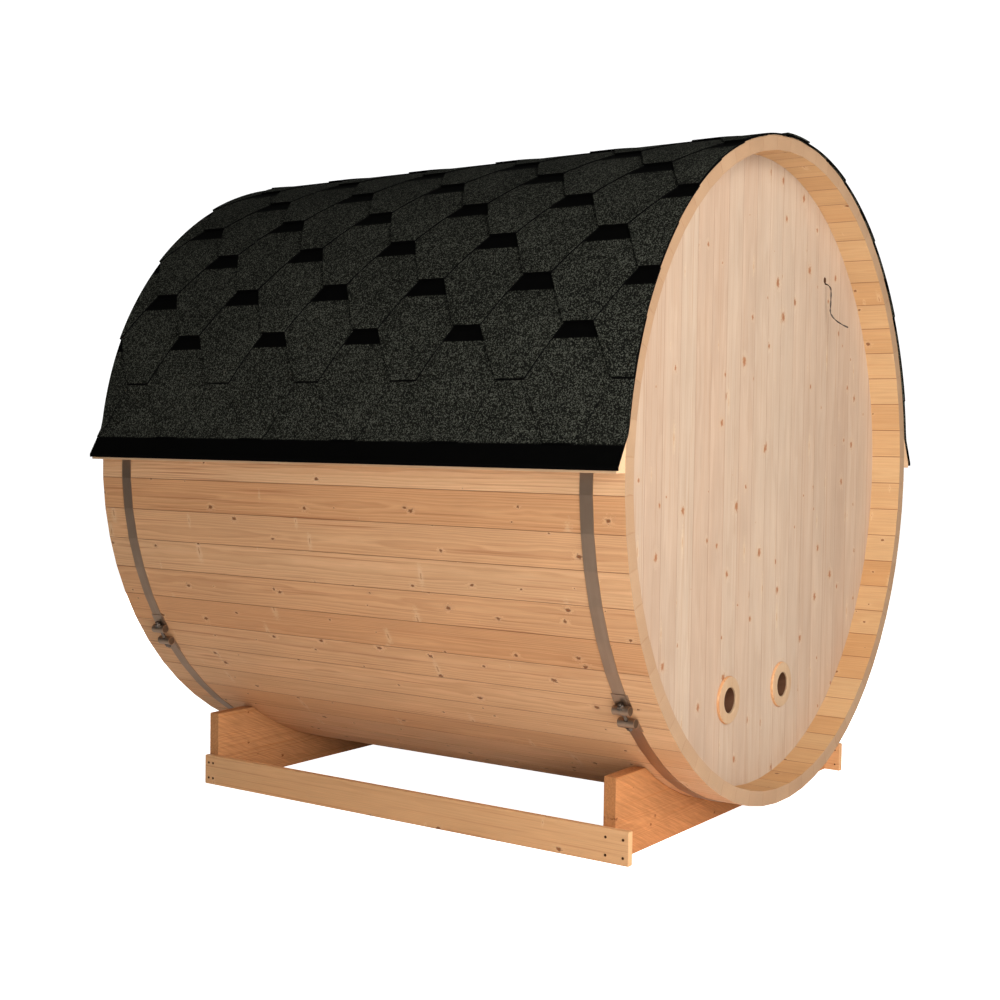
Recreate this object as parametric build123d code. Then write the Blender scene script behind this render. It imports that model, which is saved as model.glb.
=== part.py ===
"""Outdoor barrel sauna: a staved barrel on two cradles, boarded ends and a felt-shingled roof."""
import math
import os

from build123d import *

# barrel of flat staves; its axis runs along Y and the vented end faces +Y
barrel_diameter = 1900.0
barrel_length = 1824.0
stave_count = 64
stave_thickness = 42.0
tongue_depth = 4.0
tongue_crest_share = 0.3
groove_depth = 10.0

# boarded end walls, set back into the barrel
wall_thickness = 34.0
wall_recess = 96.0

# vents and the cable outlet in the rear wall, placed by shares of the barrel's radius
vent_bore_diameter = 73.0
vent_collar_diameter = 136.0
vent_collar_depth = 9.0
vent_collar_edge = 4.0
vent_collar_shoulder = 8.0
vent_side_share = 0.189
vent_drop_share = 0.677
cable_hole_diameter = 20.0
cable_side_share = 0.4812
cable_rise_share = 0.6296

# entrance in the front wall, placed by shares of the barrel's radius
doorway_side_share = 0.316
doorway_head_share = 0.737
doorway_sill_share = 0.747
door_lap = 22.0
door_thickness = 40.0
door_gap = 3.0
casing_width = 50.0
hinge_leaf_width = 36.0
hinge_leaf_height = 90.0
hinge_leaf_thickness = 3.0
hinge_knuckle_diameter = 11.0
hinge_end_share = 0.16
pull_length = 300.0
pull_width = 32.0
pull_depth = 22.0
pull_post_length = 40.0
pull_standoff = 22.0
pull_edge_distance = 60.0

# eaves: wooden cant strip, and the smooth felt strip nailed to it
eave_rise = 8.0
cant_width = 42.0
cant_height = 100.0
cant_nose = 14.0
eaves_felt_thickness = 4.0
eaves_felt_reveal = 6.0
eaves_felt_share = 0.6

# roof covering: a starter strip, lapped courses of shingles and a ridge cap
starter_thickness = 5.0
starter_facets = 2
course_butt = 8.0
course_head = 4.5
course_count = 8
course_share = 1.6
ridge_thickness = 8.0
roof_overhang = 6.0

# steel bands, with a tensioner counted in staves below the barrel's middle
band_width = 37.0
band_thickness = 1.5
band_end_distance = 106.0
rear_tensioner_stave = 7
front_tensioner_stave = 6
tensioner_span = 46.0
tail_length = 45.0
loop_width = 48.0
pin_diameter = 21.0
pin_clearance = 0.3
eye_wall = 2.0
bolt_diameter = 10.0
bolt_clearance = 1.0
bolt_overhang = 26.0

# base: two cradles, placed from the barrel's ends and joined by two side rails
cradle_throat = 50.0
cradle_thickness = 38.0
cradle_side_share = 0.732
cradle_height_share = 0.2305
rear_cradle_inset = 155.0
front_cradle_inset = 205.0
rail_height = 90.0
rail_thickness = 20.0
rail_overhang = 51.0

# two-core cable hanging from its outlet, as points out from the outlet's lower edge
cable_diameter = 4.0
cable_sides = 12
cable_clearance = 0.3
cable_points = (
    (0.0, -24.0, 0.0),
    (0.0, 20.0, 0.0),
    (4.0, 24.0, -52.0),
    (-4.0, 16.0, -114.0),
    (-27.0, 70.0, -140.0),
)
cable_fillet_share = 0.45

cut_overrun = 20.0

# derived sizes
barrel_radius = barrel_diameter / 2
axis_height = barrel_radius + cradle_throat
stave_angle = 360.0 / stave_count
half_angle = stave_angle / 2
mitre = 1 / math.cos(math.radians(half_angle))
flat_radius = barrel_radius / mitre
inner_radius = barrel_radius - stave_thickness * mitre
groove_radius = inner_radius + groove_depth * mitre
rear_end = barrel_length / 2
front_end = -rear_end
rear_wall_face = rear_end - wall_recess
front_wall_face = front_end + wall_recess


def polar(radius, angle, shift=0.0):
    """Point of the barrel's cross-section, as X and height above the axis.

    Args:
        radius: distance from the axis.
        angle: degrees upwards from the right-hand side.
        shift: sideways step from that radius, towards larger angles.
    """
    turn = math.radians(angle)
    return (
        radius * math.cos(turn) - shift * math.sin(turn),
        radius * math.sin(turn) + shift * math.cos(turn),
    )


def corner(index, radius=barrel_radius):
    """Corner between staves, counted up from the one just above the right side's middle."""
    return polar(radius, half_angle + index * stave_angle)


def stave_edge(angle):
    """Tongued joint between two staves, from the inside of the barrel to the outside."""
    middle = (barrel_radius + inner_radius) / 2
    crest = stave_thickness * tongue_crest_share / 2
    return [
        polar(inner_radius, angle),
        polar(middle - crest, angle, tongue_depth),
        polar(middle + crest, angle, tongue_depth),
        polar(barrel_radius, angle),
    ]


def prism(points, low, high):
    """Cross-section in X and height above the axis, drawn out between two stations along Y."""
    outline = Plane.XZ.offset(-high) * Polygon(*points)
    return Pos(0, 0, axis_height) * extrude(outline, amount=high - low, dir=(0, -1, 0))


def ring_prism(radius, low, high):
    """Prism with one side for each stave."""
    return prism([corner(index, radius) for index in range(stave_count)], low, high)


def block(x_range, y_range, z_range):
    """Rectangular block between pairs of coordinates."""
    ranges = (x_range, y_range, z_range)
    size = [high - low for low, high in ranges]
    middle = [(high + low) / 2 for low, high in ranges]
    return Pos(*middle) * Box(*size)


def rod(diameter, start, end):
    """Round bar between two points."""
    line = Vector(*end) - Vector(*start)
    return extrude(Plane(origin=start, z_dir=line) * Circle(diameter / 2), amount=line.length)


def turned(shape, angle):
    """Shape turned upwards about the barrel's axis."""
    return Pos(0, 0, axis_height) * Rot(0, -angle, 0) * Pos(0, 0, -axis_height) * shape


def sheet(path, thickness):
    """Closed outline of a sheet that lies on the right-hand side of a path of points."""
    normals = []
    for first, second in zip(path, path[1:]):
        run = (second[0] - first[0], second[1] - first[1])
        length = math.hypot(*run)
        normals.append((run[1] / length, -run[0] / length))
    outer = []
    for index, point in enumerate(path):
        before = normals[max(index - 1, 0)]
        after = normals[min(index, len(normals) - 1)]
        reach = thickness / (1 + before[0] * after[0] + before[1] * after[1])
        outer.append(
            (
                point[0] + reach * (before[0] + after[0]),
                point[1] + reach * (before[1] + after[1]),
            )
        )
    return list(path) + outer[::-1]


def on_staves(angle, rise):
    """Point at a height above the barrel's flat staves."""
    lean = (angle + half_angle) % stave_angle - half_angle
    return polar(flat_radius / math.cos(math.radians(lean)) + rise, angle)


def corners_between(low, high):
    """Angles of the staves' corners that lie inside a range."""
    angles = [half_angle + index * stave_angle for index in range(stave_count)]
    margin = half_angle / stave_count
    return [angle for angle in angles if low + margin < angle < high - margin]


def save(name, *solids):
    """Write one node of the assembly."""
    shape = solids[0] if len(solids) == 1 else Compound(children=list(solids))
    export_step(shape, f"parts/{name}.step")


def save_pair(name, shape):
    """Write a right-hand piece and its mirror image."""
    save(f"{name}_right", shape)
    save(f"{name}_left", mirror(shape, about=Plane.YZ))


os.makedirs("parts", exist_ok=True)

# staves, tongued along their edges and grooved across both ends to hold the end walls
rear_blank = ring_prism(groove_radius, rear_wall_face - wall_thickness, rear_wall_face)
front_blank = ring_prism(groove_radius, front_wall_face, front_wall_face + wall_thickness)
stave = prism(stave_edge(half_angle) + stave_edge(-half_angle)[::-1], front_end, rear_end)
stave = stave - rear_blank - front_blank
quarter = stave_count // 4
for side, name in enumerate(("right_wall", "roof", "left_wall", "floor")):
    for start, suffix in enumerate("ab"):
        first = side * quarter - quarter // 2 + start
        turns = [index * stave_angle for index in range(first, first + quarter, 2)]
        save(f"{name}_staves_{suffix}", *[turned(stave, angle) for angle in turns])

# rear wall with its vents and cable outlet
wall_through = (rear_wall_face - wall_thickness - cut_overrun, rear_wall_face + cut_overrun)
vent_z = axis_height - vent_drop_share * barrel_radius
vent_radius = vent_collar_diameter / 2
bore_radius = vent_bore_diameter / 2
collar_profile = Polygon(
    (bore_radius, 0),
    (vent_radius, 0),
    (vent_radius, vent_collar_edge),
    (vent_radius - vent_collar_shoulder, vent_collar_depth),
    (bore_radius, vent_collar_depth),
)
collar = revolve(collar_profile, axis=Axis.Y)
rear_wall = rear_blank
collars = []
for side in (1, -1):
    x = side * vent_side_share * barrel_radius
    rear_wall -= rod(vent_bore_diameter, (x, wall_through[0], vent_z), (x, wall_through[1], vent_z))
    collars.append(Pos(x, rear_wall_face, vent_z) * collar)
save("vent_collars", *collars)
cable_x = -cable_side_share * barrel_radius
cable_z = axis_height + cable_rise_share * barrel_radius
rear_wall -= rod(
    cable_hole_diameter, (cable_x, wall_through[0], cable_z), (cable_x, wall_through[1], cable_z)
)
save("rear_end_wall", rear_wall)

# front wall, in four panels around the doorway
door_side = doorway_side_share * barrel_radius
door_head = axis_height + doorway_head_share * barrel_radius
door_sill = axis_height - doorway_sill_share * barrel_radius
front_through = (front_wall_face - cut_overrun, front_wall_face + wall_thickness + cut_overrun)
beside = (door_side, barrel_radius)
across = (-door_side, door_side)
whole = (axis_height - barrel_radius, axis_height + barrel_radius)
save_pair("front_wall", front_blank & block(beside, front_through, whole))
save("front_wall_over_door", front_blank & block(across, front_through, (door_head, whole[1])))
save("front_wall_below_door", front_blank & block(across, front_through, (whole[0], door_sill)))

# boarded door lapping over the doorway, with a casing around it
door_face = front_wall_face - door_thickness
door_range = (door_face, front_wall_face)
leaf_x = door_side + door_lap
leaf_low = door_sill - door_lap
leaf_high = door_head + door_lap
save("door_leaf", block((-leaf_x, leaf_x), door_range, (leaf_low, leaf_high)))
casing_x = leaf_x + door_gap
casing_low = leaf_low - door_gap
casing_high = leaf_high + door_gap
outer_x = casing_x + casing_width
save_pair("door_casing", block((casing_x, outer_x), door_range, (casing_low, casing_high)))
save("door_casing_head", block((-outer_x, outer_x), door_range, (casing_high, casing_high + casing_width)))
save("door_casing_sill", block((-outer_x, outer_x), door_range, (casing_low - casing_width, casing_low)))

# hinges across the joint between door and casing, and the wooden pull
hinge_x = leaf_x + door_gap / 2
knuckle_y = door_face - hinge_knuckle_diameter / 2
leaf_height = leaf_high - leaf_low
hinges = []
for height in (leaf_low + leaf_height * hinge_end_share, leaf_high - leaf_height * hinge_end_share):
    low = height - hinge_leaf_height / 2
    high = height + hinge_leaf_height / 2
    plate_x = (hinge_x - hinge_leaf_width, hinge_x + hinge_leaf_width)
    plate = block(plate_x, (door_face - hinge_leaf_thickness, door_face), (low, high))
    knuckle = rod(hinge_knuckle_diameter, (hinge_x, knuckle_y, low), (hinge_x, knuckle_y, high))
    hinges.append(plate + knuckle)
save("door_hinges", *hinges)
pull_x = -leaf_x + pull_edge_distance
pull_sides = (pull_x - pull_width / 2, pull_x + pull_width / 2)
pull_low = axis_height - pull_length / 2
pull_high = axis_height + pull_length / 2
pull_back = door_face - pull_standoff
pull = block(pull_sides, (pull_back - pull_depth, pull_back), (pull_low, pull_high))
pull += block(pull_sides, (pull_back, door_face), (pull_low, pull_low + pull_post_length))
pull += block(pull_sides, (pull_back, door_face), (pull_high - pull_post_length, pull_high))
save("door_pull", pull)

# steel bands: rings broken at the tensioner, where wider loops are rolled round cross pins
band_radius = barrel_radius + band_thickness * mitre
tail_radius = band_radius + band_thickness * mitre
pin_hole = pin_diameter + 2 * pin_clearance
eye_radius = pin_hole / 2 + eye_wall
eye_x = flat_radius + pin_clearance + eye_radius
eye_rise = tensioner_span / 2
slot_half = bolt_diameter / 2 + bolt_clearance
bands = (
    ("rear", rear_end - band_end_distance, rear_tensioner_stave),
    ("front", front_end + band_end_distance, front_tensioner_stave),
)
band_rings = []
tensioners = []
for name, station, stave_index in bands:
    low = station - band_width / 2
    high = station + band_width / 2
    loop = (station - loop_width / 2, station + loop_width / 2)
    wide = (loop[0] - cut_overrun, loop[1] + cut_overrun)
    ring = ring_prism(band_radius, low, high) - ring_prism(barrel_radius, *wide)
    band_rings.append(ring)
    tail = ring_prism(tail_radius, low, high) + ring_prism(band_radius, *loop)
    tail -= ring_prism(barrel_radius, *wide)
    tail_height = (axis_height - eye_rise - tail_length, axis_height + eye_rise + tail_length)
    gap = block((0, tail_radius + cut_overrun), wide, (axis_height - eye_rise, axis_height + eye_rise))
    band = ring + (tail & block((0, tail_radius), wide, tail_height)) - gap
    eyes = [(eye_x, axis_height + eye_rise), (eye_x, axis_height - eye_rise)]
    bolt_half = eye_rise + bolt_overhang
    bolt = rod(
        bolt_diameter, (eye_x, station, axis_height - bolt_half), (eye_x, station, axis_height + bolt_half)
    )
    for x, z in eyes:
        band += rod(2 * eye_radius, (x, loop[0], z), (x, loop[1], z))
        bolt += rod(pin_diameter, (x, loop[0], z), (x, loop[1], z))
    for x, z in eyes:
        band -= rod(pin_hole, (x, wide[0], z), (x, wide[1], z))
    slot_x = (eye_x - slot_half, eye_x + slot_half)
    slot_y = (station - slot_half, station + slot_half)
    band -= block(slot_x, slot_y, (axis_height - bolt_half, axis_height + bolt_half))
    save(f"steel_band_{name}", turned(band, -stave_index * stave_angle))
    tensioners.append(turned(bolt, -stave_index * stave_angle))
save("band_tensioners", *tensioners)

# eaves, with the felt strip on the cant strip's slope
first_corner = corner(0)
second_corner = corner(1)
cant_climb = (cant_height + eave_rise - first_corner[1]) / (second_corner[1] - first_corner[1])
cant_top = (
    first_corner[0] + cant_climb * (second_corner[0] - first_corner[0]),
    first_corner[1] + cant_climb * (second_corner[1] - first_corner[1]),
)
cant_tip = (flat_radius + cant_width, eave_rise)
cant_shoulder = (cant_tip[0], eave_rise + cant_nose)
felt_foot = (cant_tip[0], eave_rise + eaves_felt_reveal)
felt_top = (
    cant_shoulder[0] + eaves_felt_share * (cant_top[0] - cant_shoulder[0]),
    cant_shoulder[1] + eaves_felt_share * (cant_top[1] - cant_shoulder[1]),
)
cant_outline = [(flat_radius, eave_rise), cant_tip, cant_shoulder, cant_top, first_corner]
roof_ends = (front_end - roof_overhang, rear_end + roof_overhang)
cant = prism(cant_outline, front_end, rear_end)
eaves_felt = prism(sheet([felt_foot, cant_shoulder, felt_top], eaves_felt_thickness), *roof_ends)
starter_path = [felt_top, cant_top] + [corner(index) for index in range(1, starter_facets + 1)]
starter = prism(sheet(starter_path, starter_thickness), *roof_ends)

# lapped courses, each thick at its butt and thin where the next one covers it
first_course = half_angle + starter_facets * stave_angle
course_angle = course_share * stave_angle
lapped = []
for course in range(course_count):
    low = first_course + course * course_angle
    high = low + course_angle
    for angle in [low] + corners_between(low, high) + [high]:
        rise = course_butt + (course_head - course_butt) * (angle - low) / course_angle
        lapped.append(on_staves(angle, rise))
ridge_angle = first_course + course_count * course_angle
under = [first_course] + corners_between(first_course, ridge_angle) + [ridge_angle]
slope = prism([on_staves(angle, 0) for angle in under] + lapped[::-1], *roof_ends)
ridge_angles = [ridge_angle] + corners_between(ridge_angle, 180 - ridge_angle) + [180 - ridge_angle]
ridge_outline = [on_staves(angle, 0) for angle in ridge_angles]
ridge_outline += [on_staves(angle, ridge_thickness) for angle in ridge_angles[::-1]]
ridge = prism(ridge_outline, *roof_ends)

# eaves and roof are cleared over the bands that run beneath them
for ring in band_rings:
    cant -= ring
    starter -= ring
    slope -= ring
    ridge -= ring
save_pair("eave_cant_strip", cant)
save_pair("eaves_felt", eaves_felt)
save_pair("shingle_starter", starter)
save_pair("shingle_slope", slope)
save("shingle_ridge", ridge)

# cradles hollowed for the barrel, and the rails across their ends
seat = ring_prism(barrel_radius, front_end - cut_overrun, rear_end + cut_overrun)
cradle_side = cradle_side_share * barrel_radius
cradle_height = cradle_height_share * barrel_radius
rear_cradle_face = rear_end - rear_cradle_inset
front_cradle_face = front_end + front_cradle_inset
cradles = (
    ("rear", (rear_cradle_face - cradle_thickness, rear_cradle_face)),
    ("front", (front_cradle_face, front_cradle_face + cradle_thickness)),
)
for name, span in cradles:
    save(f"cradle_{name}", block((-cradle_side, cradle_side), span, (0, cradle_height)) - seat)
rail_span = (front_cradle_face, rear_cradle_face + rail_overhang)
save_pair("base_rail", block((cradle_side, cradle_side + rail_thickness), rail_span, (0, rail_height)))

# cable, hanging free out of its outlet
cable_drop = (cable_hole_diameter - cable_diameter) / 2 - cable_clearance
outlet = Vector(cable_x, rear_wall_face, cable_z - cable_drop)
path = [outlet + Vector(*point) for point in cable_points]
radii = []
for before, here, after in zip(path, path[1:], path[2:]):
    arriving = here - before
    leaving = after - here
    half_turn = math.radians(arriving.get_angle(leaving)) / 2
    radii.append(cable_fillet_share * min(arriving.length, leaving.length) / math.tan(half_turn))
print("cable bend radii", [round(radius, 1) for radius in radii])
line = FilletPolyline(*path, radius=radii)
ring = Plane(origin=path[0], z_dir=path[1] - path[0]) * RegularPolygon(cable_diameter / 2, cable_sides)
save("wall_cable", sweep(ring, path=line))
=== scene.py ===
"""Looks of an outdoor barrel sauna: staved barrel, boarded ends, shingled roof, steel bands and base."""

import itertools
import logging
import math
import random
from dataclasses import dataclass
from enum import Enum
from functools import partial
from typing import Callable, Iterable, Optional, Sequence, Union

import bmesh
import bpy
from mathutils import Matrix, Vector


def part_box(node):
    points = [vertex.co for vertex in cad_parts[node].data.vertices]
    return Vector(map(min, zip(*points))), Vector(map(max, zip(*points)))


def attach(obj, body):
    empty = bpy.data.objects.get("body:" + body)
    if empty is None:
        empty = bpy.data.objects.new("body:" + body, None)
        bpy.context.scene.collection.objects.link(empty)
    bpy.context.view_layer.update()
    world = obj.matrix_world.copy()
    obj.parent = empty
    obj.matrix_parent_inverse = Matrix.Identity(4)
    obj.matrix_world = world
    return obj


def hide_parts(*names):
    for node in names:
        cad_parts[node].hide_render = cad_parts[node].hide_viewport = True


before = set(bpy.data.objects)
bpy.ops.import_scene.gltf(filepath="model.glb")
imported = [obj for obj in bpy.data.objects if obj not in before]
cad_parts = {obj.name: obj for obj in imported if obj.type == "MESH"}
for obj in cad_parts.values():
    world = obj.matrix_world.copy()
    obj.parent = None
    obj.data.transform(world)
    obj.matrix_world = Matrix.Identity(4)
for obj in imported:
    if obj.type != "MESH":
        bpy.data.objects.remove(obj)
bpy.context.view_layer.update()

log = logging.getLogger("sauna")

Material = bpy.types.Material
Mesh = bmesh.types.BMesh
Piece = bpy.types.Object
Socket = bpy.types.NodeSocket
NodeMaker = Callable[..., Socket]
Pair = tuple[float, float]
Point = tuple[float, float, float]

MM = 0.001
BODY = "root"
UP = Vector((0.0, 0.0, 1.0))
ALONG_BARREL = Vector((0.0, 1.0, 0.0))
ACROSS_BARREL = Vector((1.0, 0.0, 0.0))
BLACK = (0.0, 0.0, 0.0, 1.0)
WHITE = (1.0, 1.0, 1.0, 1.0)


def srgb(code: str) -> tuple[float, float, float, float]:
    """Turns an sRGB hex value into a linear colour.

    Args:
        code: six hex digits after a hash sign.

    Returns:
        Linear red, green and blue, and an alpha of one.
    """
    parts = [int(code[i : i + 2], 16) / 255 for i in (1, 3, 5)]
    linear = [p / 12.92 if p <= 0.04045 else ((p + 0.055) / 1.055) ** 2.4 for p in parts]
    return (linear[0], linear[1], linear[2], 1.0)


def fill(node: bpy.types.Node, inputs: dict) -> None:
    """Fills a node's sockets.

    Args:
        node: node that gets them.
        inputs: sockets by name or number, each with a value or another node's output.
    """
    for key, value in inputs.items():
        if isinstance(value, Socket):
            node.id_data.links.new(value, node.inputs[key])
        else:
            node.inputs[key].default_value = value


def between(start: str, pair: Pair) -> dict[str, float]:
    """Names the least and the most of a range as a node's sockets do."""
    return {f"{start} Min": pair[0], f"{start} Max": pair[1]}


def add_node(
    tree: bpy.types.NodeTree,
    kind: str,
    inputs: Optional[dict] = None,
    out: Union[int, str] = 0,
    **settings: object,
) -> Socket:
    """Adds a shader node with its settings, values and links.

    Args:
        tree: node tree that gets the node.
        kind: Blender's name for the node, without its start.
        inputs: sockets by name or number, each with a value or another node's output.
        out: the output to hand back, by name or number.
        settings: properties of the node.

    Returns:
        That output, which knows its node.
    """
    node = tree.nodes.new(f"ShaderNode{kind}")
    for name, value in settings.items():
        setattr(node, name, value)
    fill(node, inputs or {})
    return node.outputs[out]


def new_material(name: str) -> tuple[Material, NodeMaker, bpy.types.Node]:
    """Starts a material that has only its surface shader.

    Args:
        name: name of the finish.

    Returns:
        The material, a function that adds a node to it, and its surface shader.
    """
    material = bpy.data.materials.new(name)
    material.use_nodes = True
    tree = material.node_tree
    tree.nodes.clear()
    surface = add_node(tree, "BsdfPrincipled")
    fill(tree.nodes.new("ShaderNodeOutputMaterial"), {"Surface": surface})
    return material, partial(add_node, tree), surface.node


class Lay(Enum):
    """Where a timber's grain is read from."""

    BOARDS = "the grain that each board of a mesh carries"
    UPRIGHT = "upright boards, ruled over a wall"


@dataclass(frozen=True)
class Timber:
    """Softwood such as spruce: pale wood with fine growth rings, knots, spikes and resin streaks.

    The rings are a solid pattern around a pith that lies beside each board, so faces show long grain
    lines and ends show arcs. Every board differs a little in tint. Pairs of sizes run along
    and across the grain.
    """

    name: str
    early: str
    late: str
    tints: tuple[str, str]
    lay: Lay = Lay.BOARDS
    ring_mm: float = 3.6
    ring_strength: float = 0.3
    ring_relief: float = 0.2
    late_share: float = 0.8
    sway_mm: float = 6.0
    sway_run_mm: Pair = (454.55, 62.5)
    swell_mm: float = 3.0
    swell_reach: Pair = (4.0, 0.6)
    knot: str = "#6f3b1d"
    heart: str = "#96562a"
    pale: str = "#ecd0a8"
    knot_cell_mm: Pair = (190.0, 78.0)
    knot_mm: Pair = (7.0, 5.0)
    knot_rarity: float = 0.25
    spike: str = "#a8602c"
    spike_cell_mm: Pair = (430.0, 88.0)
    spike_mm: Pair = (7.0, 26.0)
    spike_rarity: float = 0.4
    ragged_mm: Pair = (6.25, 4.545)
    ragged_reach: Pair = (-0.1, 2.1)
    smallest_spot: float = 0.02
    streak: str = "#a9642f"
    streak_strength: float = 0.5
    streak_mm: float = 7.0
    streak_run_mm: float = 625.0
    streak_from: Pair = (0.56, 0.78)
    fibre_mm: float = 2.2
    fibre_stretch: float = 45.0
    noise_roughness: float = 0.55
    patch_mm: Pair = (400.0, 111.1)
    patch_weight: float = 0.8
    patch_from: Pair = (0.5, 1.3)
    patch_tone: Pair = (0.86, 1.12)
    saw_mm: float = 0.0
    saw_angle: float = -24.0
    saw_stretch: float = 14.0
    saw_relief: float = 0.9
    saw_from: Pair = (0.3, 0.7)
    saw_tone: Pair = (0.8, 1.14)
    roughness: float = 0.58
    roughness_spread: Pair = (-0.06, 0.08)
    specular: float = 0.25
    bump_mm: float = 0.6
    bump_strength: float = 0.35
    board_mm: float = 91.6
    board_shift: Point = (9.0, 0.07, 0.09)
    first_joint_mm: float = -28.1
    joint_mm: float = 1.3
    joint: str = "#743316"
    joint_strength: float = 0.6
    joint_relief: float = -3.0

    def material(self) -> Material:
        """Builds the timber's material.

        Returns:
            The material.
        """
        material, node, shader = new_material(self.name)
        if self.lay is Lay.UPRIGHT:
            grain, board, rim = self._ruled_boards(node)
        else:
            grain = node("Attribute", out="Vector", attribute_name="grain")
            board = node("Attribute", out="Fac", attribute_name="board")
            rim = node("Attribute", out="Fac", attribute_name="rim")
        knot = self._spots(node, grain, self.knot_cell_mm, self.knot_mm, self.knot_rarity)
        spike = self._spots(node, grain, self.spike_cell_mm, self.spike_mm, self.spike_rarity)
        ring = self._rings(node, grain, knot)
        fibre = self._noise(node, grain, (self.fibre_stretch * self.fibre_mm, self.fibre_mm), 4.0)
        edge = node("Math", {0: rim}, operation="ABSOLUTE")
        joint = node(
            "MapRange",
            {"Value": edge, "From Min": 1.0 - 2 * self.joint_mm / self.board_mm},
            interpolation_type="SMOOTHSTEP",
        )
        colour = self._colour(node, grain, ring, fibre, board)
        colour = self._marks(node, colour, knot, spike, joint)
        relief = node("Math", {0: ring, 1: self.ring_relief, 2: fibre}, operation="MULTIPLY_ADD")
        if self.saw_mm:
            turn = (0.0, 0.0, math.radians(self.saw_angle))
            slanting = node("Mapping", {"Vector": grain, "Rotation": turn})
            saw = self._noise(node, slanting, (self.saw_stretch * self.saw_mm, self.saw_mm), 3.0)
            relief = node("Math", {0: saw, 1: self.saw_relief, 2: relief}, operation="MULTIPLY_ADD")
            ends = {**between("From", self.saw_from), **between("To", self.saw_tone)}
            tone = node("MapRange", {"Value": saw, **ends})
            colour = node("VectorMath", {0: colour, "Scale": tone}, operation="SCALE")
        relief = node("Math", {0: joint, 1: self.joint_relief, 2: relief}, operation="MULTIPLY_ADD")
        inputs = {"Strength": self.bump_strength, "Distance": self.bump_mm * MM, "Height": relief}
        low, high = (self.roughness + spread for spread in self.roughness_spread)
        fill(
            shader,
            {
                "Base Color": colour,
                "Roughness": node("MapRange", {"Value": fibre, **between("To", (low, high))}),
                "Normal": node("Bump", inputs),
                "Specular IOR Level": self.specular,
            },
        )
        return material

    def _ruled_boards(self, node: NodeMaker) -> tuple[Socket, Socket, Socket]:
        """Rules a wall into upright boards.

        Args:
            node: adds a node.

        Returns:
            The grain, the board's tint and the place between its edges, from -1 to 1.
        """
        parts = node("SeparateXYZ", {0: node("TexCoord", out="Object")}).node.outputs
        width = self.board_mm * MM
        first = -self.first_joint_mm / self.board_mm
        count = node("Math", {0: parts["X"], 1: 1 / width, 2: first}, operation="MULTIPLY_ADD")
        index = node("Math", {0: count}, operation="FLOOR")
        within = node("Math", {0: count}, operation="FRACT")
        chance = node("TexWhiteNoise", {"W": index}, noise_dimensions="1D")
        colour = chance.node.outputs["Color"]
        shift = node("VectorMath", {0: colour, 1: self.board_shift}, operation="MULTIPLY")
        across = node("Math", {0: within, 1: width, 2: -width / 2}, operation="MULTIPLY_ADD")
        local = node("CombineXYZ", {"X": parts["Z"], "Y": across, "Z": parts["Y"]})
        grain = node("VectorMath", {0: local, 1: shift}, operation="ADD")
        rim = node("Math", {0: within, 1: 2.0, 2: -1.0}, operation="MULTIPLY_ADD")
        return grain, chance, rim

    def _spots(self, node: NodeMaker, grain: Socket, cell_mm: Pair, size_mm: Pair, rarity: float) -> Socket:
        """Scatters uneven spots over the boards, one at most to a cell.

        Args:
            node: adds a node.
            grain: place within the board.
            cell_mm: size of the cells.
            size_mm: half size of the largest spots.
            rarity: share of the cells that stay empty.

        Returns:
            Distance to the nearest spot, in shares of its size.
        """
        scale = (1 / (cell_mm[0] * MM), 1 / (cell_mm[1] * MM), 0.0)
        ratio = (cell_mm[0] / size_mm[0], cell_mm[1] / size_mm[1], 0.0)
        scaled = node("VectorMath", {0: grain, 1: scale}, operation="MULTIPLY")
        cells = node("TexVoronoi", {"Vector": scaled, "Scale": 1.0}, voronoi_dimensions="2D").node.outputs
        offset = node("VectorMath", {0: scaled, 1: cells["Position"]}, operation="SUBTRACT")
        spread = node("VectorMath", {0: offset, 1: ratio}, operation="MULTIPLY")
        reach = node("VectorMath", {0: spread}, out="Value", operation="LENGTH")
        uneven = self._noise(node, grain, self.ragged_mm, 2.0)
        wobble = node("MapRange", {"Value": uneven, **between("To", self.ragged_reach)})
        reach = node("Math", {0: reach, 1: wobble}, operation="MULTIPLY")
        chance = node("SeparateColor", {0: cells["Color"]})
        size = node("MapRange", {"Value": chance, "From Min": rarity, "To Min": self.smallest_spot})
        return node("Math", {0: reach, 1: size}, operation="DIVIDE")

    def _noise(self, node: NodeMaker, grain: Socket, size_mm: Pair, detail: float) -> Socket:
        """Draws noise that runs along the grain.

        Args:
            node: adds a node.
            grain: place within the board.
            size_mm: size of its patches along and across the grain.
            detail: octaves of finer noise.

        Returns:
            A value about one half.
        """
        along, across = (1 / (size * MM) for size in size_mm)
        drawn = node("VectorMath", {0: grain, 1: (along, across, across)}, operation="MULTIPLY")
        fineness = {"Scale": 1.0, "Detail": detail, "Roughness": self.noise_roughness}
        return node("TexNoise", {"Vector": drawn, **fineness})

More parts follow.
